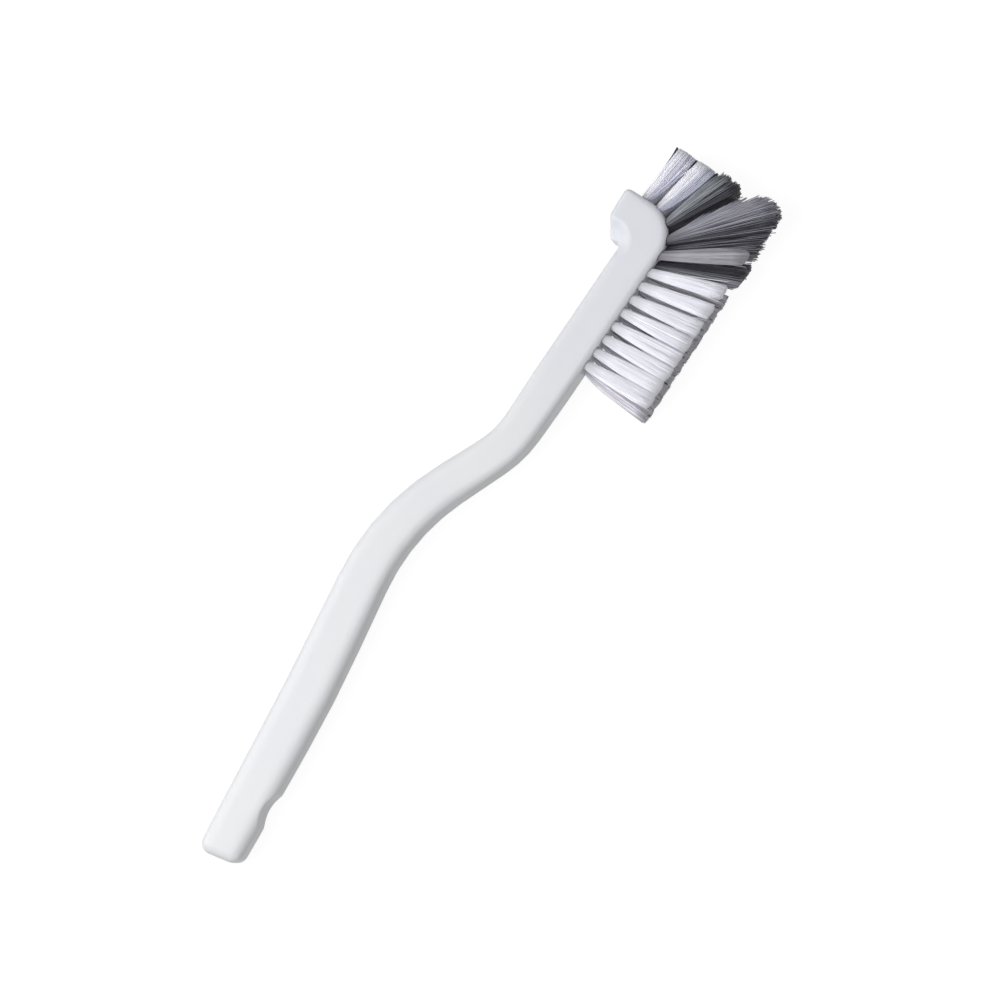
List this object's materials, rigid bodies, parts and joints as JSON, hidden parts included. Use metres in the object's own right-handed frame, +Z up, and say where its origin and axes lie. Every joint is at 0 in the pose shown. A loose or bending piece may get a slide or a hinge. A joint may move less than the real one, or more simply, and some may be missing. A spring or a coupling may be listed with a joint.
{
  "type": "cranked cleaning brush",
  "caption": "Long-handled cleaning brush with a cranked one-piece handle, staple-set bristle tufts along the head and round its nose, and a hook behind the nose.",
  "frame": {"origin": "point of the lower side face that the brush rests on, under the head's centreline and 30 mm behind the nose", "axes": "X along the head towards the nose, Y across the head towards the hook (bristles point to -Y), Z up through the handle's thickness"},
  "size_m": [0.2659, 0.0537, 0.015],
  "materials": {
    "white_plastic": "satin moulded polypropylene, white with a faint blue cast",
    "white_bristle": "translucent white nylon filament with cut ends",
    "grey_bristle": "mixed grey nylon filament with cut ends",
    "dark_bristle": "near-black nylon filament with cut ends",
    "anchor_wire": "flat drawn anchor wire, dull"
  },
  "bodies": {
    "root": {"handle": "white_plastic", "tuft_front_01": "white_bristle", "tuft_front_02": "white_bristle", "tuft_front_03": "white_bristle", "tuft_front_04": "white_bristle", "tuft_front_05": "white_bristle", "tuft_front_06": "white_bristle", "tuft_front_07": "white_bristle", "tuft_front_08": "white_bristle", "tuft_front_09": "grey_bristle", "tuft_front_10": "grey_bristle", "tuft_front_11": "dark_bristle", "tuft_front_12": "white_bristle", "tuft_front_13": "white_bristle", "tuft_rear_01": "white_bristle", "tuft_rear_02": "white_bristle", "tuft_rear_03": "white_bristle", "tuft_rear_04": "white_bristle", "tuft_rear_05": "white_bristle", "tuft_rear_06": "white_bristle", "tuft_rear_07": "white_bristle", "tuft_rear_08": "white_bristle", "tuft_rear_09": "dark_bristle", "tuft_rear_10": "dark_bristle", "tuft_rear_11": "dark_bristle", "tuft_rear_12": "white_bristle", "tuft_rear_13": "white_bristle", "tuft_centre_01": "dark_bristle", "tuft_centre_02": "dark_bristle", "tuft_centre_03": "dark_bristle", "anchor_front_01": "anchor_wire", "anchor_front_02": "anchor_wire", "anchor_front_03": "anchor_wire", "anchor_front_04": "anchor_wire", "anchor_front_05": "anchor_wire", "anchor_front_06": "anchor_wire", "anchor_front_07": "anchor_wire", "anchor_front_08": "anchor_wire", "anchor_front_09": "anchor_wire", "anchor_front_10": "anchor_wire", "anchor_front_11": "anchor_wire", "anchor_front_12": "anchor_wire", "anchor_front_13": "anchor_wire", "anchor_rear_01": "anchor_wire", "anchor_rear_02": "anchor_wire", "anchor_rear_03": "anchor_wire", "anchor_rear_04": "anchor_wire", "anchor_rear_05": "anchor_wire", "anchor_rear_06": "anchor_wire", "anchor_rear_07": "anchor_wire", "anchor_rear_08": "anchor_wire", "anchor_rear_09": "anchor_wire", "anchor_rear_10": "anchor_wire", "anchor_rear_11": "anchor_wire", "anchor_rear_12": "anchor_wire", "anchor_rear_13": "anchor_wire", "anchor_centre_01": "anchor_wire", "anchor_centre_02": "anchor_wire", "anchor_centre_03": "anchor_wire"}
  },
  "joints": []
}
